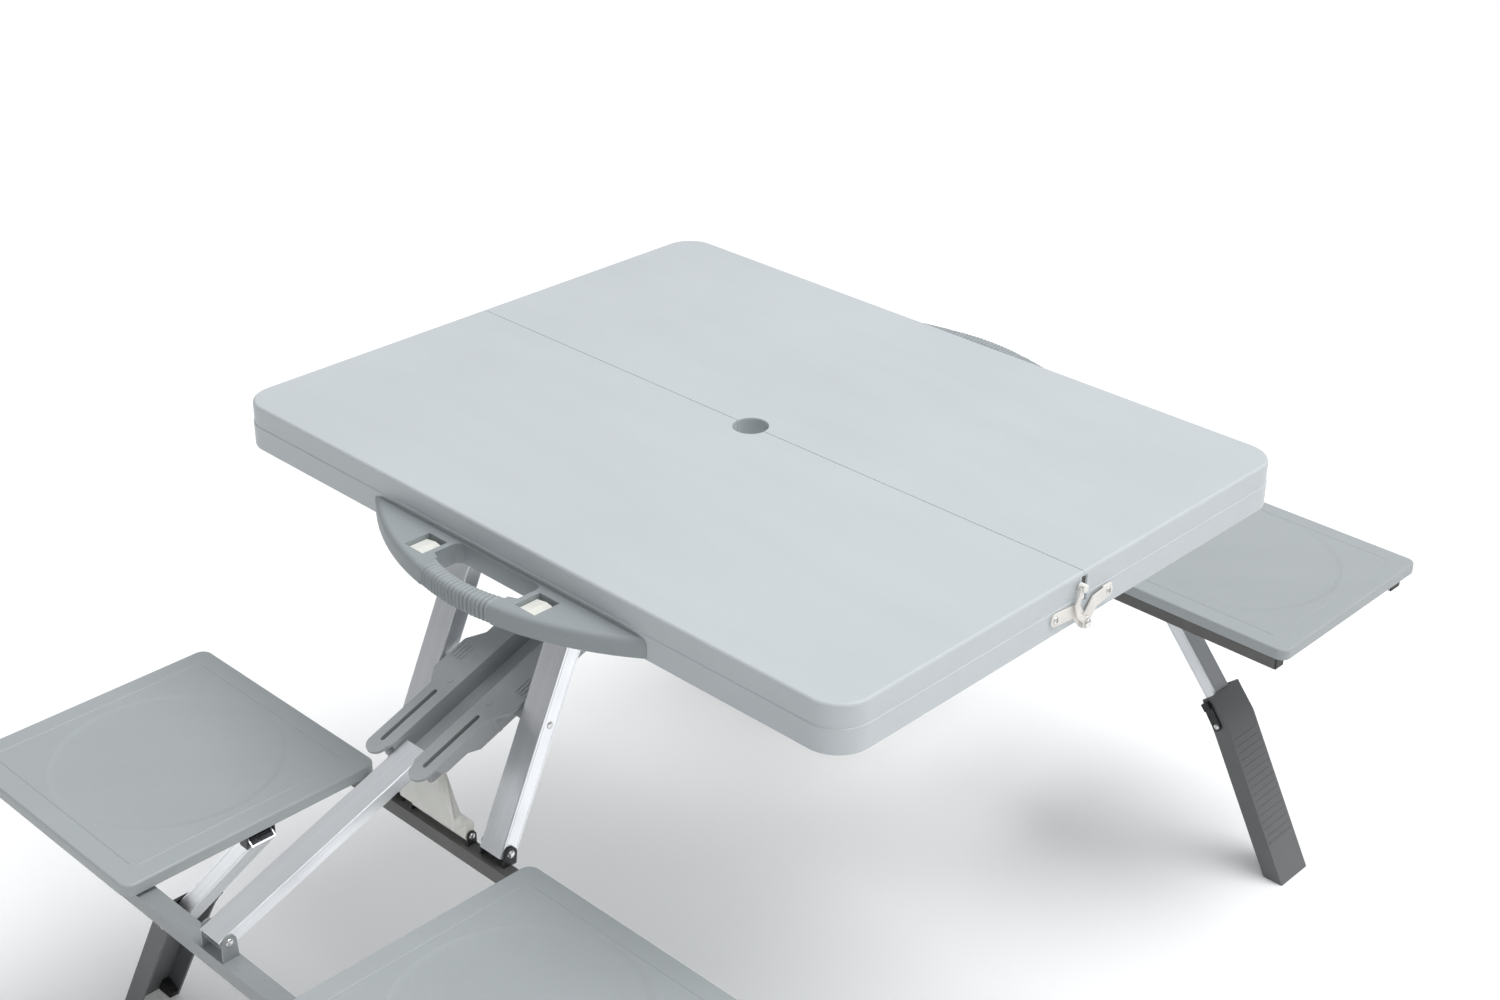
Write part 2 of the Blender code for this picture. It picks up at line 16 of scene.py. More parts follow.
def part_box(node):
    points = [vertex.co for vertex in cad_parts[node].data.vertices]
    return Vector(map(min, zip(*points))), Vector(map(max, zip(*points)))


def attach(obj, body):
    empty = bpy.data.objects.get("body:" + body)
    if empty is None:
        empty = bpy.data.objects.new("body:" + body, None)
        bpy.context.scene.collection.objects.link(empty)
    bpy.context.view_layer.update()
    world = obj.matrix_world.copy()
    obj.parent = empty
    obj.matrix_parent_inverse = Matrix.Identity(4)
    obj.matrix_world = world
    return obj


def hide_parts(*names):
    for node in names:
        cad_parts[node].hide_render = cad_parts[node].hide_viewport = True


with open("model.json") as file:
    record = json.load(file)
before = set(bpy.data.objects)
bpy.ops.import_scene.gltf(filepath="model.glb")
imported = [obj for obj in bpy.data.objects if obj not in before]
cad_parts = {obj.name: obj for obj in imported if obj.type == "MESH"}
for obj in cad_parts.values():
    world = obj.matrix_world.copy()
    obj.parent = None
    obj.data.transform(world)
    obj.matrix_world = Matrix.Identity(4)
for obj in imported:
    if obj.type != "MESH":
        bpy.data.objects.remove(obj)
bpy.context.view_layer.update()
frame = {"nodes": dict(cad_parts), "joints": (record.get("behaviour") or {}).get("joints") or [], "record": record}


# ------------------------------------------------------------------ the half tops
# Two grey polypropylene trays that meet along the middle seam. Each is one moulding with a
# soft top edge, a parting step half way down its side and half of the umbrella tube. Their
# ribs under the top are moulded with them. Four quarters share the drawing tools made here.

body_holding = {node: body for body, nodes in frame["record"]["behaviour"]["bodies"].items()
                for node in nodes}
pivots = {joint["name"]: Vector(joint["pos_m"]) for joint in frame["joints"]
          if joint["type"] == "hinge"}
rows = (("front", -1), ("back", 1))
ends = (("left", -1), ("right", 1))


class Value:
    """A socket in a finish. Sums on it add Math nodes."""

    def __init__(self, finish, socket):
        self.finish = finish
        self.socket = socket

    def maths(self, operation, *values):
        return self.finish.node("ShaderNodeMath", {"operation": operation},
                                dict(enumerate(values)))

    def __add__(self, other):
        return self.maths("ADD", self, other)

    def __sub__(self, other):
        return self.maths("SUBTRACT", self, other)

    def __mul__(self, other):
        return self.maths("MULTIPLY", self, other)

    def __gt__(self, other):
        return self.maths("GREATER_THAN", self, other)

    __radd__ = __add__


class Finish:
    """A material: its fixed values, and the nodes that vary it over the surface."""

    def __init__(self, name, **fixed):
        self.material = bpy.data.materials.new(name)
        self.material.use_nodes = True
        self.nodes = self.material.node_tree.nodes
        self.shader = self.nodes["Principled BSDF"]
        for socket, value in fixed.items():
            self.shader.inputs[socket.replace("_", " ")].default_value = value

    def put(self, socket, value):
        if isinstance(value, Value):
            self.material.node_tree.links.new(value.socket, socket)
        else:
            socket.default_value = value

    def node(self, kind, settings, values, output=0):
        made = self.nodes.new(kind)
        for name, value in settings.items():
            setattr(made, name, value)
        for name, value in values.items():
            self.put(made.inputs[name], value)
        return Value(self, made.outputs[output])

    def place(self, centre=(0, 0, 0), turn=(0, 0, 0), stretch=(1, 1, 1)):
        """The piece's own coordinates, from a centre, turned and stretched."""
        spot = self.node("ShaderNodeTexCoord", {}, {}, "Object")
        return self.node("ShaderNodeMapping", {"vector_type": "TEXTURE"},
                         {"Vector": spot, "Location": centre, "Rotation": turn,
                          "Scale": stretch})

    def noise(self, spot, scale, detail=2.0, low=0.35, high=0.65):
        """Noise spread over 0 to 1."""
        raw = self.node("ShaderNodeTexNoise", {},
                        {"Vector": spot, "Scale": scale, "Detail": detail})
        return self.node("ShaderNodeMapRange", {"clamp": True},
                         {"Value": raw, "From Min": low, "From Max": high})

    def height(self, spot, axis):
        return self.node("ShaderNodeSeparateXYZ", {}, {"Vector": spot}, axis)

    def blend(self, share, first, second):
        """A colour between two others."""
        return self.node("ShaderNodeMix", {"data_type": "RGBA", "clamp_factor": True},
                         {0: share, 6: first, 7: second}, 2)

    def paint(self, colour):
        self.put(self.shader.inputs["Base Color"], colour)

    def sheen(self, roughness):
        self.put(self.shader.inputs["Roughness"], roughness)

    def emboss(self, relief, depth):
        """Raises the surface where relief is high, by up to depth metres."""
        self.put(self.shader.inputs["Normal"],
                 self.node("ShaderNodeBump", {}, {"Height": relief, "Distance": depth}))


def shade(colour, factor):
    return (*(channel * factor for channel in colour), 1.0)


def moulded_plastic(name, colour, roughness, flow_turn=(0, 0, 0)):
    """Satin moulded plastic: spark-eroded grain, faint flow marks and light handling marks."""
    finish = Finish(name, Specular_IOR_Level=0.45)
    spot = finish.place()
    drift = finish.noise(spot, 3.5, 3.0, 0.3, 0.7)
    flow = finish.noise(finish.place(turn=flow_turn, stretch=(5, 1, 1)), 26.0, 4.0, 0.3, 0.7)
    fine = finish.noise(spot, 900.0, 3.0)
    rubbed = finish.noise(finish.place(turn=(0, 0, 0.5), stretch=(9, 1, 1)), 60.0, 6.0, 0.62, 0.78)
    tone = drift * 0.45 + flow * 0.30 + fine * 0.25
    finish.paint(finish.blend(tone, shade(colour, 0.955), shade(colour, 1.04)))
    finish.sheen(roughness + drift * 0.05 + fine * 0.06 - rubbed * 0.07)
    finish.emboss(fine + flow * 0.35, 0.00006)
    return finish.material


def arc(centre, radius, first, last, steps):
    """Points of an arc, angles in degrees, both ends included."""
    angles = [math.radians(first + (last - first) * i / steps) for i in range(steps + 1)]
    return [(centre[0] + radius * math.cos(a), centre[1] + radius * math.sin(a))
            for a in angles]


def loft(rings):
    """A closed solid through rings of points, capped at both ends."""
    mesh = bmesh.new()
    loops = [[mesh.verts.new(point) for point in ring] for ring in rings]
    for one, two in zip(loops, loops[1:]):
        for i in range(len(one)):
            mesh.faces.new((one[i - 1], one[i], two[i], two[i - 1]))
    mesh.faces.new(loops[0])
    mesh.faces.new(loops[-1])
    bmesh.ops.recalc_face_normals(mesh, faces=mesh.faces)
    return mesh


def prism(outline, axis, low, high):
    """An outline in the plane across an axis, made a solid from low to high along it."""
    places = {"X": lambda a, b, c: (c, a, b), "Y": lambda a, b, c: (a, c, b),
              "Z": lambda a, b, c: (a, b, c)}[axis]
    mesh = bmesh.new()
    face = mesh.faces.new([mesh.verts.new(places(a, b, low)) for a, b in outline])
    new = bmesh.ops.extrude_face_region(mesh, geom=[face])["geom"]
    bmesh.ops.translate(mesh, vec=places(0, 0, high - low),
                        verts=[item for item in new if isinstance(item, bmesh.types.BMVert)])
    bmesh.ops.recalc_face_normals(mesh, faces=mesh.faces)
    return mesh


def block(x0, x1, y0, y1, z0, z1):
    return prism([(x0, y0), (x1, y0), (x1, y1), (x0, y1)], "Z", z0, z1)


def rod(axis, centre, radius, low, high, sides=32):
    return prism(arc(centre, radius, 0, 360 - 360 / sides, sides - 1), axis, low, high)


def joined(parts):
    """Several solids as one mesh."""
    whole = bmesh.new()
    for part in parts:
        data = bpy.data.meshes.new("part")
        part.to_mesh(data)
        part.free()
        whole.from_mesh(data)
        bpy.data.meshes.remove(data)
    return whole


def carved(mesh, operation, tools):
    """A solid with other solids cut out of it or united with it."""
    made = []
    for number, part in enumerate([mesh] + list(tools)):
        data = bpy.data.meshes.new("work")
        part.to_mesh(data)
        part.free()
        made.append(bpy.data.objects.new("work", data))
        bpy.context.scene.collection.objects.link(made[-1])
        if number:
            change = made[0].modifiers.new("work", "BOOLEAN")
            change.operation = operation
            change.object = made[-1]
    bpy.context.view_layer.update()
    result = bmesh.new()
    result.from_object(made[0], bpy.context.evaluated_depsgraph_get())
    for each in made:
        data = each.data
        bpy.data.objects.remove(each)
        bpy.data.meshes.remove(data)
    bmesh.ops.remove_doubles(result, verts=result.verts, dist=1e-6)
    bmesh.ops.dissolve_limit(result, angle_limit=math.radians(0.6), verts=result.verts,
                             edges=result.edges)
    return result


def soften(mesh, width, segments=2, bend=32, choose=lambda edge: True):
    """Rounds the edges that bend more than an angle, in degrees."""
    sharp = [edge for edge in mesh.edges if len(edge.link_faces) == 2
             and edge.calc_face_angle(0) > math.radians(bend) and choose(edge)]
    bmesh.ops.bevel(mesh, geom=sharp, offset=width, segments=segments, profile=0.5,
                    affect="EDGES", material=-1, clamp_overlap=True)
    return mesh


def set_down(mesh, sides=(1, 1), pivot=(0, 0, 0), tilt=(0, 0)):
    """Moves a mesh drawn about its pivot into one quarter of the table."""
    side_x, side_y = sides
    bmesh.ops.transform(mesh, matrix=quarter(sides, pivot, tilt), verts=mesh.verts)
    if side_x * side_y < 0:
        bmesh.ops.reverse_faces(mesh, faces=mesh.faces)
    return mesh


def quarter(sides, pivot, tilt):
    side_x, side_y = sides
    return (Matrix.Translation((side_x * pivot[0], side_y * pivot[1], pivot[2]))
            @ Euler((side_y * tilt[0], side_x * tilt[1], 0)).to_matrix().to_4x4()
            @ Matrix.Diagonal((side_x, side_y, 1, 1)))


def show(name, mesh, body, material, nodes=(), bend=32):
    """A finished piece that rides on a body and stands for CAD nodes."""
    data = bpy.data.meshes.new(name)
    mesh.to_mesh(data)
    mesh.free()
    data.materials.append(material)
    data.shade_smooth()
    data.set_sharp_from_angle(angle=math.radians(bend))
    made = bpy.data.objects.new(name, data)
    bpy.context.scene.collection.objects.link(made)
    evened = made.modifiers.new("even shading", "WEIGHTED_NORMAL")
    evened.keep_sharp = True
    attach(made, body)
    if nodes:
        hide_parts(*nodes)
    return made


tray_low, tray_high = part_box("back_half_top")
seam = tray_low.y
top_z = tray_high.z
rim_z = tray_low.z
tray_corner = 0.036
tray_wall = 0.003
umbrella_radius = 0.0185
top_edge = 0.0034            # rounding of the top's edge
seam_edge = 0.0003           # rounding along the seam
parting_z = 0.6365           # ledge where the moulding parts
parting_step = 0.0009        # how far the part above it stands back
rib_half = 0.0008            # half thickness of the ribs under the tops and the seats
top_finish = moulded_plastic("top_plastic", (0.575, 0.614, 0.633), 0.40)


def tray_outline(inset, seam_inset, notch):
    """Half of the tabletop in plan, with half of the umbrella hole in its seam."""
    half = tray_high.x - inset
    outer = tray_high.y - inset
    corner = tray_corner - inset
    near = seam + seam_inset
    side = math.degrees(math.asin(near / notch))
    return ([(half, near)] + arc((half - corner, outer - corner), corner, 0, 90, 20)
            + arc((corner - half, outer - corner), corner, 90, 180, 20) + [(-half, near)]
            + arc((0, 0), notch, 180 - side, side, 32))


def tray():
    """The shell from the ceiling of its hollow, round the rim and up over the top edge."""
    levels = [(tray_wall, tray_wall, umbrella_radius + tray_wall, top_z - tray_wall),
              (tray_wall, tray_wall, umbrella_radius + tray_wall, rim_z),
              (0.0006, 0.0004, umbrella_radius + 0.0006, rim_z),
              (0.0, 0.0, umbrella_radius, rim_z + 0.0006),
              (0.0, 0.0, umbrella_radius, parting_z - parting_step),
              (parting_step, 0.0, umbrella_radius, parting_z)]
    for step in range(7):
        angle = math.radians(15 * step)
        inset = 1 - math.cos(angle)
        levels.append((parting_step + top_edge * inset, seam_edge * inset,
                       umbrella_radius + 0.0012 * inset,
                       top_z - top_edge * (1 - math.sin(angle))))
    return loft([[(x, y, z) for x, y in tray_outline(inset, seam_inset, notch)]
                 for inset, seam_inset, notch, z in levels])


def tray_ribs():
    """Low stiffening ribs under the top, across and along it."""
    under = top_z - tray_wall
    low, high = under - 0.0026, under + 0.0010
    along = [block(-0.4195, 0.4195, y - rib_half, y + rib_half, low, high)
             for y in (0.050, 0.135, 0.205, 0.270)]
    across = [block(x - rib_half, x + rib_half, 0.0040, 0.3280, low, high)
              for x in (-0.390, -0.330, -0.270, -0.210, -0.150, 0.150, 0.210, 0.270, 0.330, 0.390)]
    return carved(along[0], "UNION", along[1:] + across)


for row, side_y in rows:
    rebates = [block(*sorted((side * 0.412, side * 0.430)), -0.01, 0.0045, 0.629, 0.6560)
               for side in (-1, 1)]
    shell = set_down(carved(tray(), "DIFFERENCE", rebates), (1, side_y))
    show(f"{row}_tray", shell, f"{row}_case", top_finish, [f"{row}_half_top"])
    show(f"{row}_tray_ribs", set_down(tray_ribs(), (1, side_y)), f"{row}_case",
         top_finish)


# ------------------------------------------------------------------ the carrying handle
# Each half top carries half of the handle: a darker moulded crescent with a crowned edge, an
# opening for the fingers, two latch wells and a ribbed grip that the hand closes round.

handle_low, handle_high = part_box("back_handle")
handle_half = handle_high.x
handle_rise = handle_high.y - handle_low.y
handle_radius = (handle_half ** 2 + handle_rise ** 2) / (2 * handle_rise)
handle_centre = handle_high.y - handle_radius
handle_spread = math.degrees(math.asin(handle_half / handle_radius))
finger_radius = 0.145                        # inner curve of the grip
finger_centre = handle_high.y - 0.018 - finger_radius
finger_half = 0.060                          # half length of the opening
grip_half = 0.0595                           # half length of the grip
grip_lap = 0.0085                            # how far each end of it runs into the crescent
ribbed_half = 0.049                          # how far its ribs reach
grip_rib = 0.0050                            # pitch of the ribs
grip_swell = 0.0022                          # height of the ribs
well_x, well_half = 0.080, 0.0135            # the latches' wells
well_y = (0.3460, 0.3760)
through_z = (0.60, 0.65)                     # height of the tools that cut through the handle
handle_finish = moulded_plastic("handle_plastic", (0.335, 0.365, 0.378), 0.42)


def crescent():
    """The handle's body, with room for the ribbed grip left open."""
    outline = arc((0, handle_centre), handle_radius, 90 - handle_spread, 90 + handle_spread, 56)
    body = prism(outline, "Z", handle_low.z, handle_high.z)
    curved = [edge for edge in body.edges if any(v.co.y > handle_low.y + 1e-4 for v in edge.verts)]
    upper = [edge for edge in curved if all(v.co.z > handle_high.z - 1e-5 for v in edge.verts)]
    lower = [edge for edge in curved if all(v.co.z < handle_low.z + 1e-5 for v in edge.verts)]
    for edges, width, steps in ((upper, 0.0062, 6), (lower, 0.0035, 3)):
        bmesh.ops.bevel(body, geom=edges, offset=width, segments=steps, profile=0.5,
                        affect="EDGES", material=-1)
    reach = math.degrees(math.acos(finger_half / finger_radius))
    near = handle_low.y + 0.0035
    opening = prism([(-finger_half, near), (finger_half, near)]
                    + arc((0, finger_centre), finger_radius, reach, 180 - reach, 24),
                    "Z", *through_z)
    soften(opening, 0.008, 6, choose=lambda edge: abs(edge.verts[0].co.z - edge.verts[1].co.z)
           > 0.01 and edge.verts[0].co.y < handle_low.y + 0.02)
    grip_gap = block(grip_lap - grip_half, grip_half - grip_lap, 0.360, 0.420, *through_z)
    wells = [block(x - well_half, x + well_half, *well_y, *through_z) for x in (-well_x, well_x)]
    groove = block(-0.3, 0.3, handle_low.y + 0.0016, handle_low.y + 0.0024,
                   handle_high.z - 0.0005, through_z[1])
    body = carved(body, "DIFFERENCE", [opening, grip_gap, groove] + wells)
    return soften(body, 0.0007, 2, 50,
                  lambda edge: all(v.co.z > handle_high.z - 1e-5
                                   and v.co.y > handle_low.y + 0.0028 for v in edge.verts))


def ribbed_grip():
    """Rings across the grip, swollen and pinched in turn along its curve."""
    rings = []
    steps = 280
    quadrants = ((0, 1, 1), (90, -1, 1), (180, -1, -1), (270, 1, -1))
    for i in range(steps + 1):
        x = -grip_half + 2 * grip_half * i / steps
        outer = handle_centre + math.sqrt(handle_radius ** 2 - x ** 2)
        inner = finger_centre + math.sqrt(finger_radius ** 2 - x ** 2)
        fade = max(0.0, min(1.0, (ribbed_half - abs(x)) / 0.005))
        ease = min(1.0, (grip_half - abs(x)) / 0.016)
        swell = fade * (grip_swell * abs(math.cos(math.pi * x / grip_rib)) ** 0.6 - 0.0013)
        sunk = 0.0004 * (1 - ease)
        wide = (outer - inner) / 2 + swell - sunk
        tall = (handle_high.z - handle_low.z) / 2 + swell - sunk
        lean = math.asin(x / handle_radius)
        corner = 0.004 + (min(wide, tall) - 0.0075) * ease
        section = [point for first, cx, cy in quadrants
                   for point in arc((cx * (wide - corner), cy * (tall - corner)), corner,
                                    first, first + 90, 7)]
        middle = (outer + inner) / 2
        rings.append([(x + across * math.sin(lean), middle + across * math.cos(lean),
                       (handle_low.z + handle_high.z) / 2 + up) for across, up in section])
    return loft(rings)


for row, side_y in rows:
    show(f"{row}_handle_moulding", set_down(crescent(), (1, side_y)), f"{row}_case",
         handle_finish, [f"{row}_handle"])
    show(f"{row}_handle_grip", set_down(ribbed_grip(), (1, side_y)), f"{row}_case",
         handle_finish, bend=60)


# ------------------------------------------------------------------ handle latches
# Two milky nylon slides in the wells of the front handle. Each has a thumb pad of two facets
# that meet in a low ridge, and is sprung outwards.

def milky_nylon(name, colour):
    """Natural nylon: light goes a little way in, with a cloudy moulded surface."""
    finish = Finish(name, Subsurface_Weight=0.25, Subsurface_Scale=0.004,
                    Subsurface_Radius=(1.0, 0.9, 0.6), Specular_IOR_Level=0.5)
    spot = finish.place()
    cloud = finish.noise(spot, 55.0, 3.0, 0.3, 0.7)
    fine = finish.noise(spot, 700.0, 2.0)
    finish.paint(finish.blend(cloud * 0.7 + fine * 0.3, shade(colour, 0.94), shade(colour, 1.03)))
    finish.sheen(0.34 + cloud * 0.10)
    finish.emboss(fine + cloud, 0.00005)
    return finish.material


nylon_finish = milky_nylon("nylon", (0.84, 0.84, 0.79))

for end, side_x in ends:
    low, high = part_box(f"handle_latch_{end}")
    middle = (low.x + high.x) / 2
    thumb = high.z + 0.0055
    pad = block(low.x, high.x, low.y, high.y, low.z, thumb)
    for cut in (middle - 0.0005, middle + 0.0005):
        bmesh.ops.bisect_plane(pad, geom=pad.verts[:] + pad.edges[:] + pad.faces[:],
                               plane_co=(cut, 0, 0), plane_no=(1, 0, 0))
    for corner in pad.verts:
        if corner.co.z > thumb - 1e-5 and abs(corner.co.x - middle) > 0.001:
            corner.co.z -= 0.0026
    soften(pad, 0.0008, 3, 20)
    show(f"handle_latch_{end}_pad", pad, f"handle_latch_{end}", nylon_finish,
         [f"handle_latch_{end}"])


# ------------------------------------------------------------------ end hinges and locks
# At each end two cream enamelled steel plates share one rivet under the seam. A curved lock arm
# on the same rivet hooks round a nylon peg. The plates are held by cross-head screws.

def enamel(name, colour):
    """Baked enamel on thin steel, with a slight orange peel."""
    finish = Finish(name, Specular_IOR_Level=0.5, Coat_Weight=0.25, Coat_Roughness=0.12)
    spot = finish.place()
    peel = finish.noise(spot, 420.0, 2.0, 0.3, 0.7)
    stain = finish.noise(spot, 70.0, 4.0, 0.45, 0.75)
    finish.paint(finish.blend(stain, shade(colour, 1.0), shade(colour, 0.90)))
    finish.sheen(0.30 + peel * 0.12)
    finish.emboss(peel, 0.00003)
    return finish.material


def plated_steel(name, colour, roughness):
    """Bright zinc plate with small dull patches."""
    finish = Finish(name, Metallic=1.0)
    spot = finish.place()
    patch = finish.noise(spot, 300.0, 4.0, 0.35, 0.7)
    finish.paint(finish.blend(patch, shade(colour, 1.05), shade(colour, 0.78)))
    finish.sheen(roughness + patch * 0.18)
    finish.emboss(finish.noise(spot, 1500.0), 0.00002)
    return finish.material


def whole_copy(node):
    """A copy of a CAD node with its loose triangles merged into whole faces."""
    mesh = bmesh.new()
    mesh.from_mesh(frame["nodes"][node].data)
    mesh.verts.ensure_lookup_table()
    bmesh.ops.remove_doubles(mesh, verts=mesh.verts, dist=0.00001)
    bmesh.ops.dissolve_limit(mesh, angle_limit=math.radians(0.8), verts=mesh.verts,
                             edges=mesh.edges)
    return mesh


def dressed(node, ending, material, width, segments=2, bend=32):
    """A piece made from a CAD node with its edges rounded."""
    return show(f"{node}_{ending}", soften(whole_copy(node), width, segments, bend),
                body_holding[node], material, [node])


def dome(radius, height):
    """A rivet head that stands on z 0, spun from its profile."""
    base = 0.0006
    mesh = bmesh.new()
    profile = [(radius * math.cos(math.radians(a)), height * math.sin(math.radians(a)))
               for a in (0, 20, 40, 60, 75)]
    points = [(0, 0, -base), (radius * 0.96, 0, -base)] + [(x, 0, z) for x, z in profile]
    points.append((0, 0, height))
    corners = [mesh.verts.new(point) for point in points]
    edges = [mesh.edges.new(pair) for pair in zip(corners, corners[1:])]
    bmesh.ops.spin(mesh, geom=corners + edges, cent=(0, 0, 0), axis=(0, 0, 1),
                   angle=math.radians(360), steps=28, use_merge=True)
    bmesh.ops.remove_doubles(mesh, verts=mesh.verts, dist=1e-6)
    bmesh.ops.recalc_face_normals(mesh, faces=mesh.faces)
    return mesh


def facing(mesh, direction, spot):
    """Turns a head that points up to face a direction, and moves it to its spot."""
    turn = Vector((0, 0, 1)).rotation_difference(Vector(direction)).to_matrix().to_4x4()
    bmesh.ops.transform(mesh, matrix=Matrix.Translation(spot) @ turn, verts=mesh.verts)
    return mesh


def cross_head():
    """A pan-head screw with a cross recess."""
    slots = [block(-0.0019, 0.0019, -0.00040, 0.00040, 0.0005, 0.004),
             block(-0.00040, 0.00040, -0.0019, 0.0019, 0.0005, 0.004)]
    return carved(dome(0.0034, 0.0018), "DIFFERENCE", slots)


enamel_finish = enamel("white_enamel", (0.83, 0.80, 0.76))
zinc_finish = plated_steel("bright_steel", (0.78, 0.78, 0.77), 0.22)
pin_y, pin_z = pivots["case_fold"].y, pivots["case_fold"].z

for end, side_x in ends:
    for row, side_y, screw_y in (("front", -1, 0.0440), ("back", 1, 0.0340)):
        node = f"hinge_plate_{row}_{end}"
        dressed(node, "steel", enamel_finish, 0.0003)
        face = 0.4269 if row == "front" else 0.4288
        head = facing(cross_head(), (side_x, 0, 0), (side_x * face, side_y * screw_y, 0.6275))
        show(f"{node}_screw", head, f"{row}_case", zinc_finish)
    dressed(f"lock_arm_{end}", "steel", enamel_finish, 0.0004, 3)
    dressed(f"lock_peg_{end}", "nylon", nylon_finish, 0.0006, 3, 45)
    rivet = facing(dome(0.0042, 0.0016), (side_x, 0, 0), (side_x * 0.4331, pin_y, pin_z))
    show(f"hinge_rivet_{end}", rivet, "front_case", zinc_finish)


# ------------------------------------------------------------------ legs
# Two pairs of extruded aluminium box tubes with a fine groove near each corner. Each hangs by
# a short axle in a black steel hanger under the top, and carries the hub on a rivet mid way.

def box_tube(wide, deep, low, high, wall, groove=0.0, corner=0.0011):
    """A box tube along Z with round corners, open at both ends, and grooves on its sides."""
    plug_depth = 0.02

    def section(inset, cut):
        half_x, half_y = wide / 2 - inset, deep / 2 - inset
        points = []
        for sx, sy, first in ((1, -1, 270), (1, 1, 0), (-1, 1, 90), (-1, -1, 180)):
            bend = arc((sx * (half_x - corner), sy * (half_y - corner)), corner, first,
                       first + 90, 4)
            line = [(sx * half_x, sy * (half_y - 0.0024)),
                    (sx * (half_x - cut), sy * (half_y - 0.0028)),
                    (sx * half_x, sy * (half_y - 0.0032))]
            points += bend + line if sx * sy < 0 else line[::-1] + bend
        return points

    levels = [(wall, 0, low + plug_depth), (wall, 0, low), (0, groove, low),
              (0, groove, high), (wall, 0, high), (wall, 0, high - plug_depth)]
    return loft([[(x, y, z) for x, y in section(inset, cut)] for inset, cut, z in levels])


def drawn_aluminium(name, centre, turn, along):
    """Clear-anodised extrusion with die lines along it and a few cloudy patches."""
    colour = (0.86, 0.875, 0.90)
    finish = Finish(name, Metallic=1.0)
    stretch = tuple(70.0 if axis == along else 1.0 for axis in "XYZ")
    lines = finish.noise(finish.place(centre, turn, stretch), 750.0, 3.0, 0.3, 0.7)
    bands = finish.noise(finish.place(centre, turn, stretch), 120.0, 2.0, 0.3, 0.7)
    cloud = finish.noise(finish.place(), 22.0, 3.0, 0.35, 0.7)
    tone = lines * 0.45 + bands * 0.30 + cloud * 0.25
    finish.paint(finish.blend(tone, shade(colour, 1.04), shade(colour, 0.90)))
    finish.sheen(0.27 + lines * 0.08 + cloud * 0.08)
    finish.emboss(lines + bands * 0.6, 0.000012)
    return finish.material


def coated_steel(name, colour, roughness=0.42):
    """Black or grey powder coat: a fine pebbled skin that is rubbed here and there."""
    finish = Finish(name, Metallic=0.25, Specular_IOR_Level=0.5)
    spot = finish.place()
    pebble = finish.noise(spot, 520.0, 3.0)
    rub = finish.noise(spot, 38.0, 5.0, 0.52, 0.75)
    finish.paint(finish.blend(rub * 0.6 + pebble * 0.2, shade(colour, 0.9), shade(colour, 1.35)))
    finish.sheen(roughness + pebble * 0.10 - rub * 0.10)
    finish.emboss(pebble, 0.00006)
    return finish.material


black_finish = coated_steel("black_steel", (0.028, 0.030, 0.033), 0.36)
axle, foot = pivots["back_bench_fold"], pivots["back_seat_level"]
hub_pin = pivots["back_hub_turn"]
leg_length = (Vector((axle.y, axle.z)) - Vector((foot.y, foot.z))).length
leg_tilt = math.atan2(foot.y - axle.y, axle.z - foot.z)
leg_x = 0.076
leg_width, leg_depth = 0.030, 0.020
leg_face = leg_x + leg_width / 2

for row, side_y in rows:
    leg_metal = drawn_aluminium(f"{row}_leg_aluminium", (0, side_y * axle.y, axle.z),
                                (side_y * leg_tilt, 0, 0), "Z")
    heads = []
    for end, side_x in ends:
        tube = box_tube(leg_width, leg_depth, -leg_length - 0.006, 0.008, 0.0015, 0.0008)
        set_down(tube, (side_x, side_y), (leg_x, axle.y, axle.z), (leg_tilt, 0))
        show(f"{row}_leg_{end}_tube", tube, f"{row}_legs", leg_metal,
             [f"{row}_leg_{end}"])
        dressed(f"{row}_leg_hanger_{end}", "steel", black_finish, 0.0004)
        heads.append(facing(dome(0.0038, 0.0016), (side_x, 0, 0),
                            (side_x * leg_face, side_y * hub_pin.y, hub_pin.z)))
    show(f"{row}_leg_rivets", joined(heads), f"{row}_legs", zinc_finish)


# ------------------------------------------------------------------ hub and stay
# Between the legs a grey moulded hub makes a channel that the aluminium stay tube slides up when
# the bench folds. It has two long slots, a stepped skirt, and short raised ribs on its shoulders.

hub_finish = moulded_plastic("hub_plastic", (0.385, 0.400, 0.410), 0.42)
slide_axis = next(joint for joint in frame["joints"] if joint["name"] == "back_stay_slide")["axis"]
stay_tilt = math.atan2(slide_axis[2], -slide_axis[1])
beam_low, beam_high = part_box("back_outer_beam")
beam_middle = (beam_low.y + beam_high.y) / 2
stay_pin_z = beam_high.z - 0.0075
stay_reach = math.hypot(beam_middle - hub_pin.y, hub_pin.z - stay_pin_z)
deck = 0.0120                # height of the hub's deck over its pin


def capsule(start, end, radius, steps=8):
    """The outline of a bar with two round ends."""
    way = math.degrees(math.atan2(end[1] - start[1], end[0] - start[0]))
    return (arc(start, radius, way + 90, way + 270, steps)
            + arc(end, radius, way - 90, way + 90, steps))


def mirrored(points):
    """Half an outline and its mirror image across the middle line."""
    return points + [(-a, b) for a, b in reversed(points)]


def slot_outline(side, radius):
    """The outline of a lobe's slot, or of the pocket under it."""
    return capsule((side * 0.0315, 0.036), (side * 0.0315, 0.104), radius, 6)


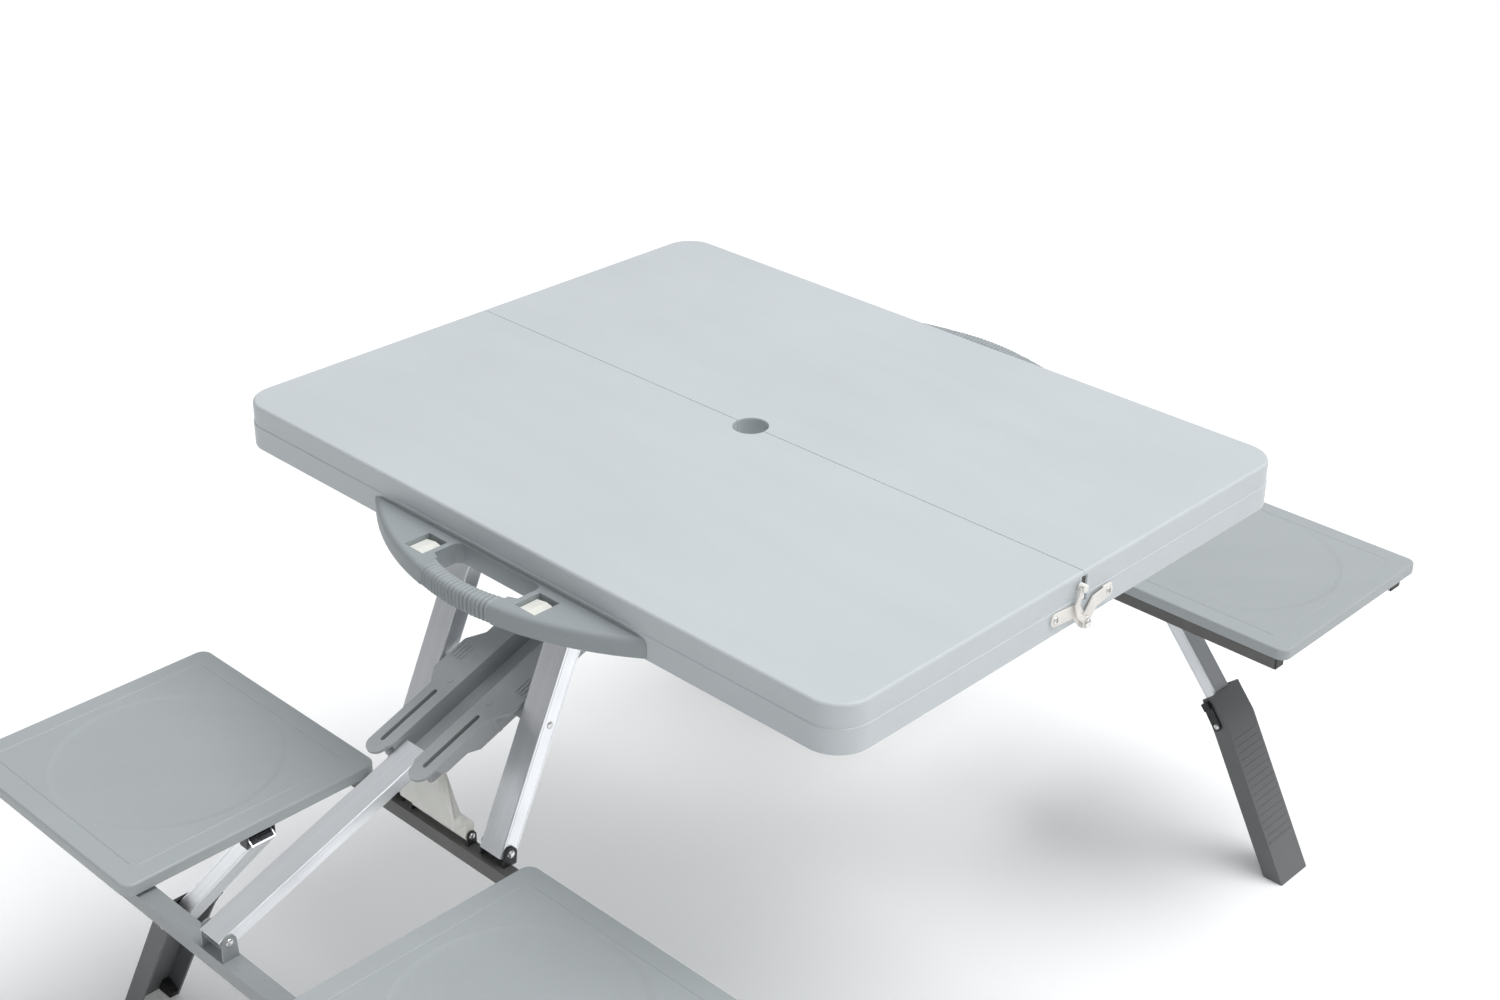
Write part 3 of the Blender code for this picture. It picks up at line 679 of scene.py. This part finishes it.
def hub():
    """The hub about its pin: a deck with two lobes, a gutter, stepped skirts and bosses."""
    groove, lobe, shoulder, tip = 0.0168, 0.0440, 0.0575, 0.0119     # half widths, tip radius
    outer, inner, mouth = 0.1220, -0.1080, 0.1040                    # along the stay
    bottom = -0.0103
    rim = mirrored([(groove, mouth), (lobe - 2 * tip, mouth + 0.006)]
                   + arc((lobe - tip, outer - tip), tip, 180, 0, 18)
                   + [(lobe, 0.034)] + arc((lobe + 0.010, 0.034), 0.010, 180, 235, 5)
                   + arc((shoulder - 0.006, 0.012), 0.006, 40, 0, 3)
                   + arc((shoulder - 0.006, -0.026), 0.006, 0, -50, 3)
                   + [(lobe, -0.045), (lobe, inner)])
    plate = prism(rim, "Z", deck - 0.003, deck)
    gutter = block(-groove - 0.0022, groove + 0.0022, inner, mouth, bottom, deck - 0.001)
    pieces = [gutter]
    for side in (-1, 1):
        skirt = prism([(inner + 0.002, bottom), (0.052, bottom), (0.066, -0.002), (0.092, -0.002),
                       (0.100, 0.004), (0.100, deck - 0.001), (inner + 0.002, deck - 0.001)], "X",
                      *sorted((side * (lobe - 0.0025), side * lobe)))
        pieces.append(skirt)
        pieces.append(rod("X", (0, 0), 0.0085, *sorted((side * 0.0180, side * 0.0600))))
        pieces.append(rod("X", (0, 0), 0.0050, *sorted((side * 0.0590, side * 0.0640))))
        pieces.append(rod("Z", (side * (lobe - 0.004), 0.026), 0.0062, bottom + 0.0016,
                          deck - 0.001))
        pieces.append(prism(slot_outline(side, 0.0042), "Z", -0.0080, deck - 0.001))
    whole = carved(plate, "UNION", pieces)
    channel = block(-groove, groove, inner - 0.01, outer + 0.01, bottom + 0.002, deck + 0.01)
    slots = [prism(slot_outline(side, 0.0025), "Z", -0.0065, deck + 0.01) for side in (-1, 1)]
    return soften(carved(whole, "DIFFERENCE", [channel] + slots), 0.0004, 2, 44)


def hub_marks():
    """Raised bars on the hub's shoulders, and a round button on each lobe."""
    marks = [prism(capsule((x, -0.024), (x, -0.006), 0.0008, 5), "Z", deck - 0.0004, deck + 0.0010)
             for x in [side * (0.0405 + 0.0046 * i) for i in range(4) for side in (-1, 1)]]
    marks += [rod("Z", (side * 0.0285, 0.018), 0.0030, deck - 0.0004, deck + 0.0008)
              for side in (-1, 1)]
    return joined([soften(mark, 0.0003, 2, 50) for mark in marks])


for row, side_y in rows:
    about_pin = ((1, side_y), (0, hub_pin.y, hub_pin.z), (-stay_tilt, 0))
    show(f"{row}_hub_moulding", set_down(hub(), *about_pin), f"{row}_hub",
         hub_finish, [f"{row}_hub"])
    show(f"{row}_hub_marks", set_down(hub_marks(), *about_pin), f"{row}_hub",
         hub_finish)

    stay_metal = drawn_aluminium(f"{row}_stay_aluminium", (0, side_y * hub_pin.y, hub_pin.z),
                                 (side_y * -stay_tilt, 0, 0), "Y")
    tube = box_tube(0.030, 0.014, 0.0900, stay_reach + 0.008, 0.0013, corner=0.0009)
    along_y = Matrix(((1, 0, 0, 0), (0, 0, 1, 0), (0, -1, 0, -0.001), (0, 0, 0, 1)))
    bmesh.ops.transform(tube, matrix=along_y, verts=tube.verts)
    set_down(tube, *about_pin)
    show(f"{row}_stay", tube, f"{row}_stay_tube", stay_metal, [f"{row}_stay_tube"])


# ------------------------------------------------------------------ strut
# A flat dark steel strut under the top holds the hub's inner end while the bench is open. It
# turns on a pin in a small black bracket.

dark_finish = coated_steel("dark_steel", (0.125, 0.125, 0.120), 0.40)

for row, side_y in rows:
    dressed(f"{row}_strut", "bar", dark_finish, 0.0004)
    dressed(f"{row}_strut_bracket", "steel", black_finish, 0.0003)


# ------------------------------------------------------------------ seat rail and prop
# A square dark steel tube ties the inner edges of a bench's seats. Black ears on it take the
# legs' feet and the milky nylon prop that the stay leans on. Plugs close the tube's ends.

def eared_steel(name, colour, tube_top):
    """Powder-coated tube whose ears and clevises, above its top face, are black."""
    finish = Finish(name, Metallic=0.25, Specular_IOR_Level=0.5)
    spot = finish.place()
    pebble = finish.noise(spot, 520.0, 3.0)
    rub = finish.noise(spot, 30.0, 5.0, 0.50, 0.75)
    ears = finish.height(spot, "Z") > tube_top + 0.0004
    grey = finish.blend(rub * 0.5 + pebble * 0.2, shade(colour, 0.92), shade(colour, 1.25))
    finish.paint(finish.blend(ears, grey, (0.025, 0.026, 0.028, 1)))
    finish.sheen(0.40 + pebble * 0.10 - rub * 0.08)
    finish.emboss(pebble, 0.00006)
    return finish.material


rail_top = 0.375
rail_y = (0.416, 0.432)
rail_low = 0.359
beam_deck = beam_low.z + 0.016               # the outer beam's upper face
plug_x = (0.4052, 0.4068)
rail_finish = eared_steel("dark_steel_with_ears", (0.135, 0.135, 0.130), rail_top)
plug_finish = moulded_plastic("tube_plug_plastic", (0.030, 0.031, 0.033), 0.48)
prop_pin = pivots["back_prop_fold"]

for row, side_y in rows:
    dressed(f"{row}_seat_rail", "tube", rail_finish, 0.0008, 3, 40)
    dressed(f"{row}_prop", "moulding", nylon_finish, 0.0014, 3, 25)
    heads = []
    for end, side_x in ends:
        heads += [facing(dome(0.0042, 0.0020), (side_x * out, 0, 0),
                         (side_x * (leg_x + out * 0.0175), side_y * foot.y, foot.z))
                  for out in (-1, 1)]
        heads.append(facing(dome(0.0034, 0.0016), (side_x, 0, 0),
                            (side_x * 0.0435, side_y * prop_pin.y, prop_pin.z)))
    show(f"{row}_rail_rivets", joined(heads), f"{row}_bench", zinc_finish)
    plugs = []
    for side in (-1, 1):
        for y0, y1, z0, z1 in ((*rail_y, rail_low, rail_top),
                               (beam_low.y, beam_high.y, beam_low.z, beam_deck)):
            plug = block(*sorted(side * x for x in plug_x), *sorted((side_y * y0, side_y * y1)),
                         z0, z1)
            plugs.append(soften(plug, 0.0008, 3))
    show(f"{row}_tube_plugs", joined(plugs), f"{row}_bench", plug_finish)


# ------------------------------------------------------------------ outer beam
# A square tube under the seats' outer edge, painted the seats' grey, with two ears that the
# stay tube is pinned between.

def painted_tube(name, colour):
    """Grey paint over square tube, thinner and lighter where it is rubbed."""
    finish = Finish(name, Metallic=0.1, Specular_IOR_Level=0.5, Coat_Weight=0.1)
    spot = finish.place()
    peel = finish.noise(spot, 380.0, 3.0)
    rub = finish.noise(finish.place(stretch=(8, 1, 1)), 40.0, 5.0, 0.52, 0.78)
    finish.paint(finish.blend(rub * 0.6 + peel * 0.25, shade(colour, 0.95), shade(colour, 1.15)))
    finish.sheen(0.36 + peel * 0.10)
    finish.emboss(peel, 0.00005)
    return finish.material


beam_finish = painted_tube("beam_grey", (0.30, 0.32, 0.33))

for row, side_y in rows:
    dressed(f"{row}_outer_beam", "tube", beam_finish, 0.0008, 3, 40)
    heads = [facing(dome(0.0040, 0.0018), (side, 0, 0),
                    (side * 0.0174, side_y * beam_middle, stay_pin_z)) for side in (-1, 1)]
    show(f"{row}_beam_rivets", joined(heads), f"{row}_bench", zinc_finish)


# ------------------------------------------------------------------ seats
# Four square moulded seats with a skirt, an inset border line and a shallow round dish. Ribs
# and screw bosses underneath rest on the rail and the beam, which they are screwed to.

seat_finish = moulded_plastic("seat_plastic", (0.40, 0.43, 0.44), 0.38, flow_turn=(0, 0, 0.8))
seat_low, seat_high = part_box("back_seat_right")
seat_plate = 0.003
seat_skirt = 0.013


def seat_ring(inset, z, radius):
    """The seat's outline in plan, with points spread along its straight sides too."""
    x0, x1, y0, y1 = (seat_low.x + inset, seat_high.x - inset, seat_low.y + inset,
                      seat_high.y - inset)
    spots = ((x1 - radius, y0 + radius, 270), (x1 - radius, y1 - radius, 0),
             (x0 + radius, y1 - radius, 90), (x0 + radius, y0 + radius, 180))
    bends = [[Vector(point) for point in arc((cx, cy), radius, first, first + 90, 12)]
             for cx, cy, first in spots]
    ring = []
    for bend, after in zip(bends, bends[1:] + bends[:1]):
        ring += bend + [bend[-1].lerp(after[0], share / 20) for share in range(1, 20)]
    return [(point.x, point.y, z) for point in ring]


def dish_ring(radius, z):
    """A circle whose points lie on the same rays as the outline's."""
    middle = (seat_low + seat_high) / 2
    rays = [(Vector(point) - middle).to_2d().normalized() for point in seat_ring(0.02, z, 0.006)]
    return [(middle.x + radius * ray.x, middle.y + radius * ray.y, z) for ray in rays]


def seat():
    """The moulding from the ceiling of its hollow, round the skirt and over its top."""
    top, bottom = seat_high.z, seat_high.z - seat_skirt
    rings = [seat_ring(0.0030, top - seat_plate, 0.009), seat_ring(0.0030, bottom, 0.009),
             seat_ring(0.0006, bottom, 0.0114), seat_ring(0.0, bottom + 0.0006, 0.012)]
    for step in range(5):
        angle = math.radians(22.5 * step)
        inset = 0.0024 * (1 - math.cos(angle))
        rings.append(seat_ring(inset, top - 0.0024 * (1 - math.sin(angle)), 0.012 - inset))
    for inset, drop in ((0.0215, 0.0), (0.0222, 0.0005), (0.0232, 0.0005), (0.0239, 0.0)):
        rings.append(seat_ring(inset, top - drop, 0.0060))
    for radius, drop in ((0.1180, 0.0), (0.1160, 0.0003), (0.1130, 0.0009), (0.1090, 0.0012)):
        rings.append(dish_ring(radius, top - drop))
    return loft(rings)


for row, side_y in rows:
    for end, side_x in ends:
        under = seat_high.z - seat_plate
        low, high = under - 0.0030, under + 0.0010
        posts = [rod("Z", (x, y), 0.0060, z + 0.0003, under + 0.001, 24) for x in (0.160, 0.374)
                 for y, z in ((beam_middle, beam_deck), (sum(rail_y) / 2, rail_top))]
        ribs = [block(0.190, 0.414, y - rib_half, y + rib_half, low, high)
                for y in (0.455, 0.500, 0.545, 0.590, 0.635)]
        ribs += [block(x - rib_half, x + rib_half, 0.440, 0.650, low, high)
                 for x in (0.200, 0.245, 0.290, 0.335, 0.380)]
        moulding = set_down(carved(seat(), "UNION", posts + ribs), (side_x, side_y))
        show(f"{row}_seat_{end}_moulding", moulding, f"{row}_bench", seat_finish,
             [f"{row}_seat_{end}"])


# ------------------------------------------------------------------ ground legs
# Under each seat a short leg folds out of a black bracket: an aluminium tube, a riveted knee with
# a sprung latch, and a dark ribbed channel shin that stands on a rubber shoe. The shoe is open
# in the middle, where the tube lies when the leg is folded.

shin_finish = moulded_plastic("leg_plastic", (0.150, 0.156, 0.160), 0.46)
hinge, knee = pivots["back_upper_leg_fold_right"], pivots["back_knee_right"]
ground_plane = hinge.y
upper_length = math.hypot(knee.x - hinge.x, hinge.z - knee.z)
upper_tilt = math.atan2(hinge.z - knee.z, knee.x - hinge.x)
sole_x = 0.385                               # where the shin meets the ground
shin_tilt = math.atan2(knee.z, sole_x - knee.x)
shin_length = knee.z / math.sin(shin_tilt)
shin_web, shin_lip, shin_skin = 0.0140, -0.0090, 0.0026


def soft_rubber(name):
    """Black rubber, dusty and matt."""
    finish = Finish(name, Specular_IOR_Level=0.3)
    spot = finish.place()
    dust = finish.noise(spot, 90.0, 5.0, 0.4, 0.8)
    finish.paint(finish.blend(dust, (0.022, 0.022, 0.023, 1), (0.060, 0.058, 0.055, 1)))
    finish.sheen(0.72 + dust * 0.15)
    finish.emboss(finish.noise(spot, 600.0), 0.00008)
    return finish.material


rubber_finish = soft_rubber("rubber")

for row, side_y in rows:
    for end, side_x in ends:
        sides = (side_x, side_y)
        dressed(f"{row}_leg_bracket_{end}", "steel", black_finish, 0.0004)
        metal = drawn_aluminium(f"{row}_upper_leg_{end}_aluminium",
                                (side_x * hinge.x, side_y * hinge.y, hinge.z),
                                (0, side_x * upper_tilt, 0), "X")
        tube = box_tube(0.028, 0.018, -0.003, upper_length + 0.006, 0.0014, 0.0006)
        along_x = Matrix(((0, 0, 1, 0), (1, 0, 0, 0), (0, 1, 0, 0), (0, 0, 0, 1)))
        bmesh.ops.transform(tube, matrix=along_x, verts=tube.verts)
        set_down(tube, sides, (hinge.x, ground_plane, hinge.z), (0, upper_tilt))
        show(f"{row}_upper_leg_{end}_tube", tube, f"{row}_upper_leg_{end}", metal,
             [f"{row}_upper_leg_{end}"])

        dressed(f"{row}_shin_{end}", "channel", shin_finish, 0.0007, 2, 40)
        about_knee = (sides, (knee.x, ground_plane, knee.z), (0, shin_tilt))
        ribs = [block(u - 0.0009, u + 0.0009, -0.0240, 0.0240, shin_web - 0.0006,
                      shin_web + 0.0009) for u in [0.022 + 0.009 * i for i in range(16)]]
        ribs = set_down(joined([soften(rib, 0.0005, 2) for rib in ribs]), *about_knee)
        show(f"{row}_shin_{end}_ribs", ribs, f"{row}_shin_{end}", shin_finish)
        lean = 1 / math.tan(shin_tilt)
        low_v, high_v = shin_lip + 0.0006, shin_web - shin_skin
        reach = shin_length - 0.0002
        sole = [(reach - 0.016, low_v), (reach + low_v * lean, low_v),
                (reach + high_v * lean, high_v), (reach - 0.016, high_v)]
        pads = [soften(prism(sole, "Y", *sorted((side * 0.0165, side * 0.0250))), 0.0008, 3)
                for side in (-1, 1)]
        pads = set_down(joined(pads), *about_knee)
        show(f"{row}_shin_{end}_shoe", pads, f"{row}_shin_{end}", rubber_finish)

        dressed(f"{row}_knee_latch_{end}", "steel", black_finish, 0.0005)
        head = facing(dome(0.0040, 0.0016), (0, side_y, 0),
                      (side_x * knee.x, side_y * (ground_plane + 0.0280), knee.z))
        show(f"{row}_knee_rivet_{end}", head, f"{row}_shin_{end}", zinc_finish)
        inner = facing(dome(0.0036, 0.0014), (0, -side_y, 0),
                       (side_x * knee.x, side_y * (ground_plane - 0.0313), knee.z))
        show(f"{row}_latch_rivet_{end}", inner, f"{row}_knee_latch_{end}",
             zinc_finish)


# ------------------------------------------------------------------ studio
# A plain pale floor, a wide sun and soft lights overhead and from the right. The room is bright
# above and dim towards the horizon.

def floor():
    mesh = bmesh.new()
    bmesh.ops.create_grid(mesh, x_segments=1, y_segments=1, size=30)
    data = bpy.data.meshes.new("studio_floor")
    mesh.to_mesh(data)
    mesh.free()
    finish = Finish("studio_floor", Specular_IOR_Level=0.1, Roughness=0.9, Emission_Strength=0.13)
    cloud = finish.noise(finish.place(), 0.4, 2.0)
    finish.paint(finish.blend(cloud, (0.89, 0.89, 0.89, 1), (0.91, 0.91, 0.91, 1)))
    data.materials.append(finish.material)
    made = bpy.data.objects.new("studio_floor", data)
    bpy.context.scene.collection.objects.link(made)


def soft_light(name, spot, aim, size, power):
    light = bpy.data.lights.new(name, "AREA")
    light.shape = "SQUARE"
    light.size = size
    light.energy = power
    made = bpy.data.objects.new(name, light)
    made.location = spot
    made.rotation_euler = (Vector(aim) - Vector(spot)).to_track_quat("-Z", "Y").to_euler()
    bpy.context.scene.collection.objects.link(made)


floor()
sun = bpy.data.objects.new("key", bpy.data.lights.new("key", "SUN"))
sun.data.energy = 1.66
sun.data.angle = math.radians(38)
sun.rotation_euler = Vector((-0.30, -0.29, -1.0)).to_track_quat("-Z", "Y").to_euler()
bpy.context.scene.collection.objects.link(sun)
soft_light("overhead", (0.9, 2.1, 3.0), (0, 0, 0.5), 2.2, 24)
soft_light("side", (3.2, -0.6, 1.3), (0, -0.2, 0.4), 1.6, 7)
world = bpy.data.worlds.new("studio")
world.use_nodes = True
sky = world.node_tree
heading = sky.nodes.new("ShaderNodeTexCoord")
lifted = sky.nodes.new("ShaderNodeSeparateXYZ")
glow = sky.nodes.new("ShaderNodeMapRange")
glow.interpolation_type = "SMOOTHSTEP"
for socket, value in (("From Min", 0.30), ("From Max", 0.85), ("To Min", 0.17), ("To Max", 0.70)):
    glow.inputs[socket].default_value = value
sky.links.new(heading.outputs["Generated"], lifted.inputs[0])
sky.links.new(lifted.outputs["Z"], glow.inputs["Value"])
sky.links.new(glow.outputs[0], sky.nodes["Background"].inputs["Strength"])
sky.nodes["Background"].inputs["Color"].default_value = (0.97, 0.985, 1.0, 1)
bpy.context.scene.world = world
bpy.context.scene.view_settings.view_transform = "Standard"

camera = bpy.data.objects.new("camera", bpy.data.cameras.new("camera"))
camera.data.lens = 52.96
camera.data.sensor_width = 36
look, down, roll = -0.760830550, 0.489107746, 0.0137683262
forward = Vector((math.sin(look) * math.cos(down), math.cos(look) * math.cos(down),
                  -math.sin(down)))
level = forward.cross(Vector((0, 0, 1))).normalized()
upright = level.cross(forward)
right = level * math.cos(roll) + upright * math.sin(roll)
up = upright * math.cos(roll) - level * math.sin(roll)
camera.matrix_world = (Matrix.Translation((1.40629591, -1.47605930, 1.65836202))
                       @ Matrix((right, up, -forward)).transposed().to_4x4())
bpy.context.scene.collection.objects.link(camera)
bpy.context.scene.camera = camera
